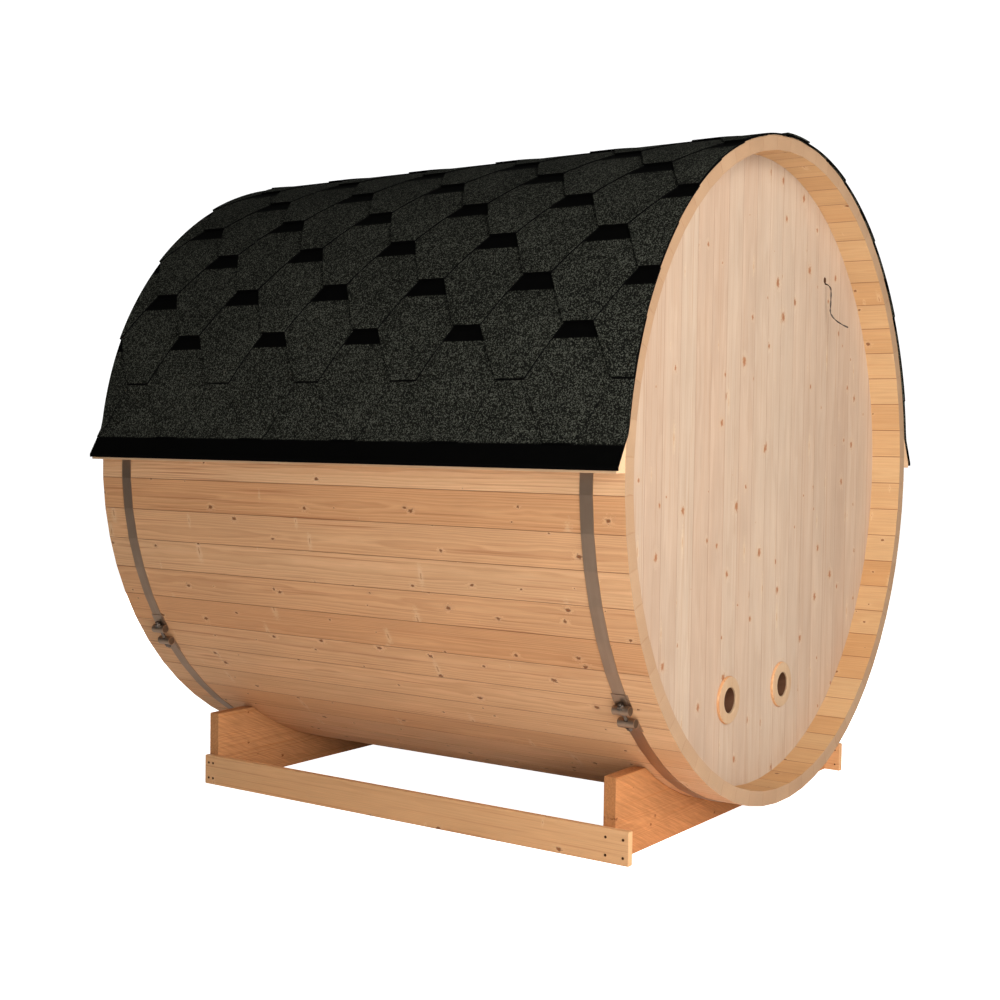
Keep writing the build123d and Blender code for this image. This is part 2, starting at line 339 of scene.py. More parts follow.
    def _rings(self, node: NodeMaker, grain: Socket, knot: Socket) -> Socket:
        """Cuts the growth rings that show as grain lines and that bend round knots.

        Args:
            node: adds a node.
            grain: place within the board.
            knot: distance to the nearest knot.

        Returns:
            Share of dark latewood.
        """
        sway = self._noise(node, grain, self.sway_run_mm, 3.0)
        swell = node(
            "MapRange",
            {"Value": knot, **between("From", self.swell_reach), "To Max": self.swell_mm * MM},
            interpolation_type="SMOOTHSTEP",
        )
        section = node("VectorMath", {0: grain, 1: (0.0, 1.0, 1.0)}, operation="MULTIPLY")
        distance = node("VectorMath", {0: section}, out="Value", operation="LENGTH")
        swayed = node("Math", {0: sway, 1: 2 * self.sway_mm * MM, 2: distance}, operation="MULTIPLY_ADD")
        pushed = node("Math", {0: swayed, 1: swell}, operation="ADD")
        turns = node("Math", {0: pushed, 1: 1 / (self.ring_mm * MM)}, operation="MULTIPLY")
        ramp = node("ValToRGB", {"Fac": node("Math", {0: turns}, operation="FRACT")})
        stops = ramp.node.color_ramp.elements
        stops[0].color = BLACK
        stops[1].position = self.late_share
        stops[1].color = WHITE
        stops.new(1.0).color = BLACK
        return ramp

    def _colour(
        self, node: NodeMaker, grain: Socket, ring: Socket, fibre: Socket, board: Socket
    ) -> Socket:
        """Mixes the clear wood's colour.

        Args:
            node: adds a node.
            grain: place within the board.
            ring: share of latewood.
            fibre: fine fibres.
            board: tint of the board.

        Returns:
            The colour.
        """
        weight = node("Math", {0: ring, 1: self.ring_strength}, operation="MULTIPLY")
        tones = {0: weight, 6: srgb(self.early), 7: srgb(self.late)}
        wood = node("Mix", tones, out=2, data_type="RGBA")
        tints = {0: board, 6: srgb(self.tints[0]), 7: srgb(self.tints[1])}
        tint = node("Mix", tints, out=2, data_type="RGBA")
        stained = {0: 1.0, 6: wood, 7: tint}
        tinted = node("Mix", stained, out=2, data_type="RGBA", blend_type="MULTIPLY")
        long = self._noise(node, grain, (self.streak_run_mm, self.streak_mm), 2.0)
        resin = node(
            "MapRange",
            {"Value": long, **between("From", self.streak_from), "To Max": self.streak_strength},
            interpolation_type="SMOOTHSTEP",
        )
        streaks = {0: resin, 6: tinted, 7: srgb(self.streak)}
        streaked = node("Mix", streaks, out=2, data_type="RGBA")
        patch = self._noise(node, grain, self.patch_mm, 2.0)
        both = node("Math", {0: patch, 1: self.patch_weight, 2: fibre}, operation="MULTIPLY_ADD")
        ends = {**between("From", self.patch_from), **between("To", self.patch_tone)}
        light = node("MapRange", {"Value": both, **ends})
        return node("VectorMath", {0: streaked, "Scale": light}, operation="SCALE")

    def _marks(
        self, node: NodeMaker, colour: Socket, knot: Socket, spike: Socket, joint: Socket
    ) -> Socket:
        """Lays spikes, knots with their pale surrounds, and the shade in the joints over the wood.

        Args:
            node: adds a node.
            colour: the clear wood.
            knot: distance to the nearest knot.
            spike: distance to the nearest spike.
            joint: mask of the joints.

        Returns:
            The colour.
        """
        # each mark starts at its outer distance, is full at its inner one, and has a strength
        marks = (
            (spike, 2.2, 0.4, 0.3, self.pale),
            (spike, 0.6, 0.2, 0.6, self.spike),
            (knot, 3.6, 1.0, 0.12, self.pale),
            (knot, 1.4, 0.7, 0.85, self.knot),
            (knot, 0.7, 0.2, 0.6, self.heart),
            (joint, 0.0, 1.0, self.joint_strength, self.joint),
        )
        for value, outer, inner, strength, tone in marks:
            mask = node(
                "MapRange",
                {"Value": value, "From Min": outer, "From Max": inner, "To Max": strength},
                interpolation_type="SMOOTHSTEP",
            )
            colour = node("Mix", {0: mask, 6: colour, 7: srgb(tone)}, out=2, data_type="RGBA")
        return colour


@dataclass(frozen=True)
class Granules:
    """Slate granules pressed into bitumen felt: matt, dark, with scattered paler grains."""

    name: str
    ground: str
    grain: str
    speck: str
    grit_mm: float
    stops: Point = (0.25, 0.75, 1.1)
    patch_mm: float = 160.0
    patch_weight: float = 0.25
    bump_mm: float = 1.0
    bump_strength: float = 0.6
    roughness: float = 0.92
    specular: float = 0.08

    def material(self) -> Material:
        """Builds the granules' material; the grit is drawn coarser than real so that it shows.

        Returns:
            The material.
        """
        material, node, shader = new_material(self.name)
        place = node("TexCoord", out="Object")
        cells = node("TexVoronoi", {"Vector": place, "Scale": 1 / (self.grit_mm * MM)}).node.outputs
        chance = node("SeparateColor", {0: cells["Color"]})
        patches = node("TexNoise", {"Vector": place, "Scale": 1 / (self.patch_mm * MM), "Detail": 3.0})
        mixed = node("Math", {0: patches, 1: self.patch_weight, 2: chance}, operation="MULTIPLY_ADD")
        ramp = node("ValToRGB", {"Fac": mixed})
        elements = ramp.node.color_ramp.elements
        for element, stop, tone in zip(elements, self.stops, (self.ground, self.grain)):
            element.position = stop
            element.color = srgb(tone)
        elements.new(self.stops[2]).color = srgb(self.speck)
        relief = {"Strength": self.bump_strength, "Distance": self.bump_mm * MM, "Height": cells["Distance"]}
        fill(
            shader,
            {
                "Base Color": ramp,
                "Normal": node("Bump", relief, invert=True),
                "Roughness": self.roughness,
                "Specular IOR Level": self.specular,
            },
        )
        return material


@dataclass(frozen=True)
class MattFinish:
    """Smooth matt surface with slow unevenness: felt that looks nearly black, or painted shade inside a bore.
    """

    name: str
    dark: str
    light: str
    patch_mm: float = 30.0
    roughness: Pair = (0.6, 0.85)
    bump_mm: float = 1.0
    bump_strength: float = 0.3
    specular: float = 0.04

    def material(self) -> Material:
        """Builds the surface's material.

        Returns:
            The material.
        """
        material, node, shader = new_material(self.name)
        place = node("TexCoord", out="Object")
        cloud = node("TexNoise", {"Vector": place, "Scale": 1 / (self.patch_mm * MM), "Detail": 5.0})
        tones = {0: cloud, 6: srgb(self.dark), 7: srgb(self.light)}
        rough = {"Value": cloud, **between("To", self.roughness)}
        relief = {"Strength": self.bump_strength, "Distance": self.bump_mm * MM, "Height": cloud}
        fill(
            shader,
            {
                "Base Color": node("Mix", tones, out=2, data_type="RGBA"),
                "Roughness": node("MapRange", rough),
                "Normal": node("Bump", relief),
                "Specular IOR Level": self.specular,
            },
        )
        return material


@dataclass(frozen=True)
class BandSteel:
    """Rolled stainless strip: brushed along its length, so its shine spreads across the strip."""

    name: str
    bright: str
    dull: str
    roughness: float = 0.42
    roughness_spread: Pair = (-0.1, 0.15)
    line_mm: float = 1.4
    line_weight: float = 0.5
    stain_mm: float = 70.0
    bump_mm: float = 0.3
    bump_strength: float = 0.15
    axis_height: float = 1.0

    def material(self) -> Material:
        """Builds the steel's material, with its lines running round the barrel.

        Returns:
            The material.
        """
        material, node, shader = new_material(self.name)
        place = node("TexCoord", out="Object")
        parts = node("SeparateXYZ", {0: place}).node.outputs
        height = node("Math", {0: parts["Z"], 1: self.axis_height}, operation="SUBTRACT")
        angle = node("Math", {0: height, 1: parts["X"]}, operation="ARCTAN2")
        fine = node("Math", {0: parts["Y"], 1: 1 / (self.line_mm * MM)}, operation="MULTIPLY")
        drawn = node("CombineXYZ", {"X": fine, "Y": angle})
        lines = node("TexNoise", {"Vector": drawn, "Scale": 1.0, "Detail": 4.0})
        stains = node("TexNoise", {"Vector": place, "Scale": 1 / (self.stain_mm * MM), "Detail": 3.0})
        weight = node("Math", {0: lines, 1: self.line_weight}, operation="MULTIPLY")
        both = node("Math", {0: stains, 1: 1.0 - self.line_weight, 2: weight}, operation="MULTIPLY_ADD")
        tones = {0: both, 6: srgb(self.bright), 7: srgb(self.dull)}
        low, high = (self.roughness + spread for spread in self.roughness_spread)
        relief = {"Strength": self.bump_strength, "Distance": self.bump_mm * MM, "Height": lines}
        fill(
            shader,
            {
                "Base Color": node("Mix", tones, out=2, data_type="RGBA"),
                "Metallic": 1.0,
                "Roughness": node("MapRange", {"Value": both, **between("To", (low, high))}),
                "Normal": node("Bump", relief),
            },
        )
        return material


@dataclass(frozen=True)
class Sheath:
    """Soft PVC of a cable: dark, with a slight gloss and dusty patches."""

    name: str
    dark: str
    dusty: str
    patch_mm: float = 12.0
    roughness: float = 0.45

    def material(self) -> Material:
        """Builds the sheath's material.

        Returns:
            The material.
        """
        material, node, shader = new_material(self.name)
        place = node("TexCoord", out="Object")
        cloud = node("TexNoise", {"Vector": place, "Scale": 1 / (self.patch_mm * MM), "Detail": 3.0})
        tones = {0: cloud, 6: srgb(self.dark), 7: srgb(self.dusty)}
        colour = node("Mix", tones, out=2, data_type="RGBA")
        fill(shader, {"Base Color": colour, "Roughness": self.roughness})
        return material


def everything(bm: Mesh) -> list:
    """Lists a mesh's vertices, edges and faces."""
    return bm.verts[:] + bm.edges[:] + bm.faces[:]


def round_edges(
    bm: Mesh, edges: Iterable[bmesh.types.BMEdge], width: float, segments: int = 2, clamp: bool = False
) -> None:
    """Rounds some edges of a mesh.

    Args:
        bm: the mesh.
        edges: edges to round.
        width: width of the rounding.
        segments: facets of the rounding.
        clamp: whether roundings stop where they would meet.
    """
    bmesh.ops.bevel(
        bm,
        geom=list(edges),
        offset=width,
        affect="EDGES",
        segments=segments,
        profile=0.5,
        material=-1,
        clamp_overlap=clamp,
    )


def add_bar(
    bm: Mesh, place: Matrix, radii: Pair, depth: float, facets: int, capped: bool = True
) -> list[bmesh.types.BMVert]:
    """Adds a round, tapered or many-sided bar along the Z axis of its place.

    Args:
        bm: mesh that gets the bar.
        place: where its middle lies, and how it is turned.
        radii: its radius at the foot and at the top.
        depth: its length.
        facets: its sides.
        capped: whether its ends are closed.

    Returns:
        The bar's vertices.
    """
    made = bmesh.ops.create_cone(
        bm,
        cap_ends=capped,
        segments=facets,
        radius1=radii[0],
        radius2=radii[1],
        depth=depth,
        matrix=place,
    )
    return made["verts"]


class Timberwork:
    """One mesh of wooden boards, each of which carries its own run of grain."""

    grain_run = 60.0
    pith_aside = 40 * MM
    pith_depth = (45 * MM, 110 * MM)
    least_tint = 0.01

    def __init__(self, name: str) -> None:
        """Starts an empty mesh.

        Args:
            name: name of the piece, which also seeds its chance.
        """
        self.name = name
        self.bm = bmesh.new()
        self.grain = self.bm.verts.layers.float_vector.new("grain")
        self.board = self.bm.verts.layers.float.new("board")
        self.rim = self.bm.verts.layers.float.new("rim")
        self.chance = random.Random(name)

    def fresh(self) -> list[bmesh.types.BMVert]:
        """Lists the vertices that no board has claimed yet."""
        return [v for v in self.bm.verts if not v[self.board]]

    def block(self, low: Sequence[float], high: Sequence[float]) -> None:
        """Adds a rectangular board between two corners."""
        low_corner, high_corner = Vector(low), Vector(high)
        size = high_corner - low_corner
        place = Matrix.Translation((low_corner + high_corner) / 2) @ Matrix.Diagonal((*size, 1.0))
        bmesh.ops.create_cube(self.bm, size=1.0, matrix=place)

    def prism(self, outline: Iterable[Pair], low: float, high: float) -> None:
        """Adds a board of constant section along the barrel.

        Args:
            outline: corners of the section, as X and Z.
            low: start of the board along Y.
            high: end of the board along Y.
        """
        corners = [self.bm.verts.new((x, low, z)) for x, z in outline]
        face = self.bm.faces.new(corners)
        drawn = bmesh.ops.extrude_face_region(self.bm, geom=[face])
        moved = [g for g in drawn["geom"] if isinstance(g, bmesh.types.BMVert)]
        bmesh.ops.translate(self.bm, verts=moved, vec=(0.0, high - low, 0.0))
        faces = {f for v in self.fresh() for f in v.link_faces}
        bmesh.ops.recalc_face_normals(self.bm, faces=list(faces))

    def ease(self, width: float, segments: int = 2, steep: float = 0.35) -> None:
        """Rounds the edges of the newest board.

        Args:
            width: width of the rounding.
            segments: facets of the rounding.
            steep: smallest turn between faces, in radians, that counts as an edge.
        """
        edges = {e for v in self.fresh() for e in v.link_edges}
        sharp = [e for e in edges if e.is_manifold and e.calc_face_angle(0.0) > steep]
        round_edges(self.bm, sharp, width, segments, clamp=True)

    def claim(self, along: Vector, across: Vector) -> list[bmesh.types.BMVert]:
        """Gives the newest board its run of grain and its tint.

        Args:
            along: direction of the grain.
            across: direction across the board's face.

        Returns:
            The board's vertices.
        """
        verts = self.fresh()
        middle = sum((v.co for v in verts), Vector()) / len(verts)
        through = along.cross(across)
        shift = Vector(
            (
                self.chance.uniform(0.0, self.grain_run),
                self.chance.uniform(-self.pith_aside, self.pith_aside),
                self.chance.choice((-1, 1)) * self.chance.uniform(*self.pith_depth),
            )
        )
        tint = self.chance.uniform(self.least_tint, 1.0)
        for v in verts:
            offset = v.co - middle
            v[self.grain] = Vector((offset.dot(along), offset.dot(across), offset.dot(through))) + shift
            v[self.board] = tint
        return verts

    def piece(self, materials: Sequence[Material], slot: str, *nodes: str) -> Piece:
        """Turns the mesh into a piece of the object.

        Args:
            materials: the piece's materials.
            slot: slot of the record that its finish comes from.
            nodes: solids that it stands for.

        Returns:
            The piece.
        """
        return make_piece(self.name, self.bm, materials, slot, *nodes)


def make_piece(
    name: str, bm: Mesh, materials: Sequence[Material], slot: str, *nodes: str
) -> Piece:
    """Turns a bmesh into a piece that rides on the object.

    Args:
        name: name of the piece.
        bm: its mesh, which is used up.
        materials: its materials.
        slot: slot of the record that its finish comes from; it is not used.
        nodes: solids that it stands for.

    Returns:
        The piece.
    """
    mesh = bpy.data.meshes.new(name)
    bm.to_mesh(mesh)
    bm.free()
    for material in materials:
        mesh.materials.append(material)
    piece = bpy.data.objects.new(name, mesh)
    bpy.context.scene.collection.objects.link(piece)
    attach(piece, BODY)
    if nodes:
        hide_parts(*nodes)
    log.info("%s: %d faces", name, len(mesh.polygons))
    return piece


def dress(node: str, material: Material) -> None:
    """Gives a solid that stays in view its material."""
    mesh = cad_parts[node].data
    mesh.materials.clear()
    mesh.materials.append(material)
    log.info("%s: dressed with %s", node, material.name)


@dataclass(frozen=True)
class BarrelForm:
    """Round form that the other pieces follow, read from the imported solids."""

    axis_height: float
    flat_radius: float
    rear_end: float
    front_end: float
    stave_count: int = 64
    stave_thickness: float = 42 * MM
    tongue_depth: float = 4 * MM
    tongue_crest_share: float = 0.3

    @classmethod
    def read(cls) -> "BarrelForm":
        """Reads the form from the staves and bands."""
        band_low, band_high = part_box("steel_band_rear")
        floor_low, floor_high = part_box("floor_staves_a")
        axis = (band_low.z + band_high.z) / 2
        return cls(axis, axis - floor_low.z, floor_high.y, floor_low.y)

    @property
    def step(self) -> float:
        """Angle of one stave."""
        return 2 * math.pi / self.stave_count

    @property
    def radius(self) -> float:
        """Radius of the staves' outer corners."""
        return self.flat_radius / math.cos(self.step / 2)

    @property
    def inner_radius(self) -> float:
        """Radius of the staves' inner corners."""
        return self.radius - self.stave_thickness / math.cos(self.step / 2)

    def half_width(self, height: float) -> float:
        """Half of the barrel's width over its corners at a height."""
        return math.sqrt(self.radius**2 - (height - self.axis_height) ** 2)

    def point(self, radius: float, angle: float, y: float = 0.0) -> Vector:
        """Point at a radius and an angle, upwards from the right-hand side, at a station along Y."""
        return Vector((radius * math.cos(angle), y, self.axis_height + radius * math.sin(angle)))


@dataclass
class StavedBarrel:
    """Staves, with tongued edges, eased corners and end grain at both ends."""

    form: BarrelForm
    face: Timber
    ends: Timber
    # darker wood of the inner faces, which paints the shade in the end recesses
    inside: Timber
    eased: float = 1.6 * MM
    end_test: float = 0.9

    def outline(self) -> list[Pair]:
        """Section of the stave on the right-hand side.

        Returns:
            Corners as X and Z, round the section.
        """
        form = self.form
        half = form.step / 2
        middle = (form.radius + form.inner_radius) / 2
        crest = form.stave_thickness * form.tongue_crest_share / 2
        corners = []
        for angle, order in ((half, 1), (-half, -1)):
            side = [
                (form.inner_radius, 0.0),
                (middle - crest, form.tongue_depth),
                (middle + crest, form.tongue_depth),
                (form.radius, 0.0),
            ]
            for radius, shift in side[::order]:
                x = radius * math.cos(angle) - shift * math.sin(angle)
                z = radius * math.sin(angle) + shift * math.cos(angle)
                corners.append((x, form.axis_height + z))
        return corners

    def build(self) -> Piece:
        """Builds all the staves as one piece.

        Returns:
            The piece.
        """
        form = self.form
        work = Timberwork("barrel_staves")
        axis = Vector((0.0, 0.0, form.axis_height))
        for index in range(form.stave_count):
            work.prism(self.outline(), form.front_end, form.rear_end)
            outer = [
                e
                for e in {e for v in work.fresh() for e in v.link_edges}
                if abs(e.verts[0].co.y - e.verts[1].co.y) > form.stave_thickness
                and min(v.co.x for v in e.verts) > form.flat_radius - self.eased
            ]
            round_edges(work.bm, outer, self.eased)
            verts = work.claim(ALONG_BARREL, UP)
            for v in verts:
                v[work.rim] = math.atan2(v.co.z - form.axis_height, v.co.x) / (form.step / 2)
            turn = Matrix.Rotation(-index * form.step, 3, "Y")
            bmesh.ops.rotate(work.bm, verts=verts, cent=axis, matrix=turn)
        # end faces get the sawn wood, and inner faces the darker wood of painted shade
        for face in work.bm.faces:
            middle = face.calc_center_median() - axis
            if abs(face.normal.y) > self.end_test:
                face.material_index = 1
            elif math.hypot(middle.x, middle.z) < form.inner_radius:
                face.material_index = 2
        nodes = [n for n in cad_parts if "_staves_" in n]
        materials = [finish.material() for finish in (self.face, self.ends, self.inside)]
        return work.piece(materials, "stave_wood", *nodes)


@dataclass
class ShingleRoof:
    """Courses of felt shingles with hexagonal tabs, bent over the barrel from eave to ridge.

    Each course is a strip with notches. Its upper part is bare bitumen, which shows as a black
    trapezium at the head of the next course's notches. Its cut edges are rimmed in black, which is
    bare bitumen and painted shadow, widest along the tabs' lower edges.
    """

    form: BarrelForm
    granules: Granules
    bitumen: MattFinish
    tab_pitch: float = 337.5 * MM
    flat_share: float = 0.25
    first_butt: float = math.radians(14.0625)
    exposure: float = math.radians(9.0)
    course_count: int = 8
    eave_butt: float = math.radians(4.37)
    odd_phase: float = -111 * MM
    even_phase: float = 57 * MM
    thickness: float = 4.0 * MM
    butt_rise: float = 8.0 * MM
    head_rise: float = 4.5 * MM
    tail_rise: float = 1.5 * MM
    bitumen_share: float = 0.67
    edge_bitumen_and_shadow: float = 0.8 * MM
    butt_bitumen_and_shadow: float = 3.2 * MM
    flare_rise: float = 15.8 * MM
    flare_top: float = math.radians(6.6)
    flare_power: float = 1.3
    rows: int = 12
    cap_length: float = 225 * MM
    cap_angle: float = math.radians(4.6)
    cap_lip: float = 0.4 * MM
    cap_facets: int = 8
    eave_drop: float = 2.0 * MM
    starter_drop: float = 4.5 * MM
    weld: float = 0.1 * MM

    def lift(self, share: float) -> float:
        """Height of a course's upper side above the staves, by share of its exposure above the butt."""
        if share < 1.0:
            return self.butt_rise + (self.head_rise - self.butt_rise) * share
        return self.head_rise + (self.tail_rise - self.head_rise) * (share - 1.0)

    def flare(self, angle: float) -> float:
        """Extra height where the felt sweeps out over the cant strip."""
        if angle >= self.flare_top:
            return 0.0
        share = (self.flare_top - angle) / (self.flare_top - self.eave_butt)
        return self.flare_rise * share**self.flare_power

    def strip(self, phase: float) -> Mesh:
        """Cuts one flat course, with X up the slope in shares of its exposure and Y along the roof.

        Args:
            phase: place of one tab's middle along Y.

        Returns:
            The flat course, bent into place by bend.
        """
        bm = bmesh.new()
        pitch = self.tab_pitch
        low = pitch * self.flat_share / 2
        wide = pitch / 2 - low
        low_y, high_y = self.ends()
        count = math.ceil((high_y - low_y) / pitch) + 2
        start = phase + pitch * math.floor((low_y - phase) / pitch)
        tab = [bm.verts.new((x, start + y, 0.0)) for x, y in ((0, -low), (1, -wide), (1, wide), (0, low))]
        bm.faces.new(tab)
        sides = [bm.verts.new((x, start + y, 0.0)) for x, y in ((1, -pitch / 2), (2, -pitch / 2))]
        sides += [bm.verts.new((x, start + y, 0.0)) for x, y in ((2, pitch / 2), (1, pitch / 2))]
        bm.faces.new([sides[0], sides[1], sides[2], sides[3], tab[2], tab[1]])
        bmesh.ops.spin(
            bm,
            geom=everything(bm),
            cent=(0.0, 0.0, 0.0),
            axis=(0.0, 0.0, 1.0),
            dvec=(0.0, pitch, 0.0),
            angle=0.0,
            steps=count,
            use_duplicate=True,
        )
        bmesh.ops.remove_doubles(bm, verts=bm.verts[:], dist=self.weld)
        length = self.exposure * self.form.radius
        bmesh.ops.scale(bm, verts=bm.verts[:], vec=(length, 1.0, 1.0))
        # a thin black rim round every cut edge is bare bitumen and painted shadow
        cut = bmesh.ops.inset_region(bm, faces=bm.faces[:], use_boundary=True, thickness=self.edge_bitumen_and_shadow)
        bmesh.ops.scale(bm, verts=bm.verts[:], vec=(1 / length, 1.0, 1.0))
        for face in cut["faces"]:
            face.material_index = 1
        for y, outward in ((low_y, -1.0), (high_y, 1.0)):
            bmesh.ops.bisect_plane(
                bm,
                geom=everything(bm),
                plane_co=(0.0, y, 0.0),
                plane_no=(0.0, outward, 0.0),
                clear_outer=True,
            )
        black = 1.0 + self.bitumen_share
        # a wider black strip along the tabs' lower edges is bare bitumen and painted shadow
        bitumen_and_shadow_share = self.butt_bitumen_and_shadow / length
        for share in sorted([2.0 * row / self.rows for row in range(1, self.rows)] + [bitumen_and_shadow_share, black]):
            bmesh.ops.bisect_plane(
                bm,
                geom=everything(bm),
                plane_co=(share, 0.0, 0.0),
                plane_no=(1.0, 0.0, 0.0),
            )
        for face in bm.faces:
            if not bitumen_and_shadow_share < face.calc_center_median().x < black:
                face.material_index = 1
        return bm

    def ends(self) -> Pair:
        """Where the felt starts and stops along Y, a little past the staves."""
        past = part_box("shingle_ridge")[1].y - self.form.rear_end
        return self.form.front_end - past, self.form.rear_end + past

    def bend(self, bm: Mesh, butt: float, exposure: float, drop: float) -> None:
        """Gives a flat course its thickness and bends it over the right-hand slope.

        Args:
            bm: the flat course.
            butt: angle of the tabs' lower edges.
            exposure: angle that one course shows.
            drop: how far below its usual height the course lies.
        """
        upper = bm.faces[:]
        bmesh.ops.recalc_face_normals(bm, faces=upper)
        if upper[0].normal.z < 0:
            bmesh.ops.reverse_faces(bm, faces=upper)
        drawn = bmesh.ops.extrude_face_region(bm, geom=upper, use_keep_orig=True)
        under = [g for g in drawn["geom"] if isinstance(g, bmesh.types.BMVert)]
        bmesh.ops.translate(bm, verts=under, vec=(0.0, 0.0, -self.thickness))
        for face in bm.faces:
            if len({round(v.co.z, 6) for v in face.verts}) > 1:
                face.material_index = 1
        for v in bm.verts:
            angle = butt + exposure * v.co.x
            rise = self.lift(v.co.x) + self.flare(angle) + v.co.z - drop * (1.0 - v.co.x / 2)
            v.co = self.form.point(self.form.radius + rise, angle, v.co.y)
        bmesh.ops.recalc_face_normals(bm, faces=bm.faces[:])

    def slope(self) -> Mesh:
        """Lays all the courses of the right-hand slope.

        Returns:
            The slope as one mesh.
        """
        whole = bmesh.new()
        courses = [(self.eave_butt, self.first_butt - self.eave_butt, self.even_phase, self.eave_drop)]
        for index in range(self.course_count):
            phase = self.even_phase if index % 2 else self.odd_phase
            courses.append((self.first_butt + index * self.exposure, self.exposure, phase, 0.0))
        for butt, exposure, phase, drop in courses:
            bm = self.strip(phase)
            self.bend(bm, butt, exposure, drop)
            part = bpy.data.meshes.new("course")
            bm.to_mesh(part)
            bm.free()
            whole.from_mesh(part)
            bpy.data.meshes.remove(part)
        return whole

    def starter(self) -> Mesh:
        """Lays the plain strip below the first course, whose edge is straight.

        Returns:
            The strip of the right-hand slope.
        """
        bm = bmesh.new()
        low_y, high_y = self.ends()
        exposure = self.first_butt - self.eave_butt
        bmesh.ops.create_grid(bm, x_segments=self.rows, y_segments=1, size=1.0)
        for v in bm.verts:
            v.co.x += 1.0
            v.co.y = low_y if v.co.y < 0 else high_y
        self.bend(bm, self.eave_butt, exposure, self.starter_drop)
        return bm

    def ridge(self) -> Mesh:
        """Laps cap pieces along the ridge, each thick at its open end.

        Returns:
            The row of caps.
        """
        bm = bmesh.new()
        low_y, high_y = self.ends()
        count = math.ceil((high_y - low_y) / self.cap_length)
        length = (high_y - low_y) / count
        for index in range(count):
            made = bmesh.ops.create_grid(bm, x_segments=self.cap_facets, y_segments=1, size=1.0)
            drawn = bmesh.ops.extrude_face_region(
                bm, geom=list({f for v in made["verts"] for f in v.link_faces}), use_keep_orig=True
            )
            under = {g for g in drawn["geom"] if isinstance(g, bmesh.types.BMVert)}
            for v in set(made["verts"]) | under:
                angle = math.pi / 2 + v.co.x * self.cap_angle
                open_end = v.co.y > 0
                rise = self.butt_rise + (self.cap_lip if open_end else -self.thickness)
                rise -= self.thickness if v in under else 0.0
                y = high_y - length * (index + (0.0 if open_end else 1.0))
                v.co = self.form.point(self.form.radius + rise, angle, y)
        bmesh.ops.recalc_face_normals(bm, faces=bm.faces[:])
        return bm

    def build(self) -> list[Piece]:
        """Builds both slopes, both starters and the ridge.

        Returns:
            The pieces.
        """
        felts = [self.granules.material(), self.bitumen.material()]
        pieces = []
        for name, lay in (("shingle_slope", self.slope), ("shingle_starter", self.starter)):
            for side, sign in (("right", 1.0), ("left", -1.0)):
                bm = lay()
                bmesh.ops.scale(bm, verts=bm.verts[:], vec=(sign, 1.0, 1.0))
                bmesh.ops.recalc_face_normals(bm, faces=bm.faces[:])
                pieces.append(
                    make_piece(f"{name}_tabs_{side}", bm, felts, "shingle_felt", f"{name}_{side}")
                )
        pieces.append(make_piece("ridge_caps", self.ridge(), felts, "shingle_felt", "shingle_ridge"))
        for side in ("right", "left"):
            dress(f"eaves_felt_{side}", felts[1])
        return pieces


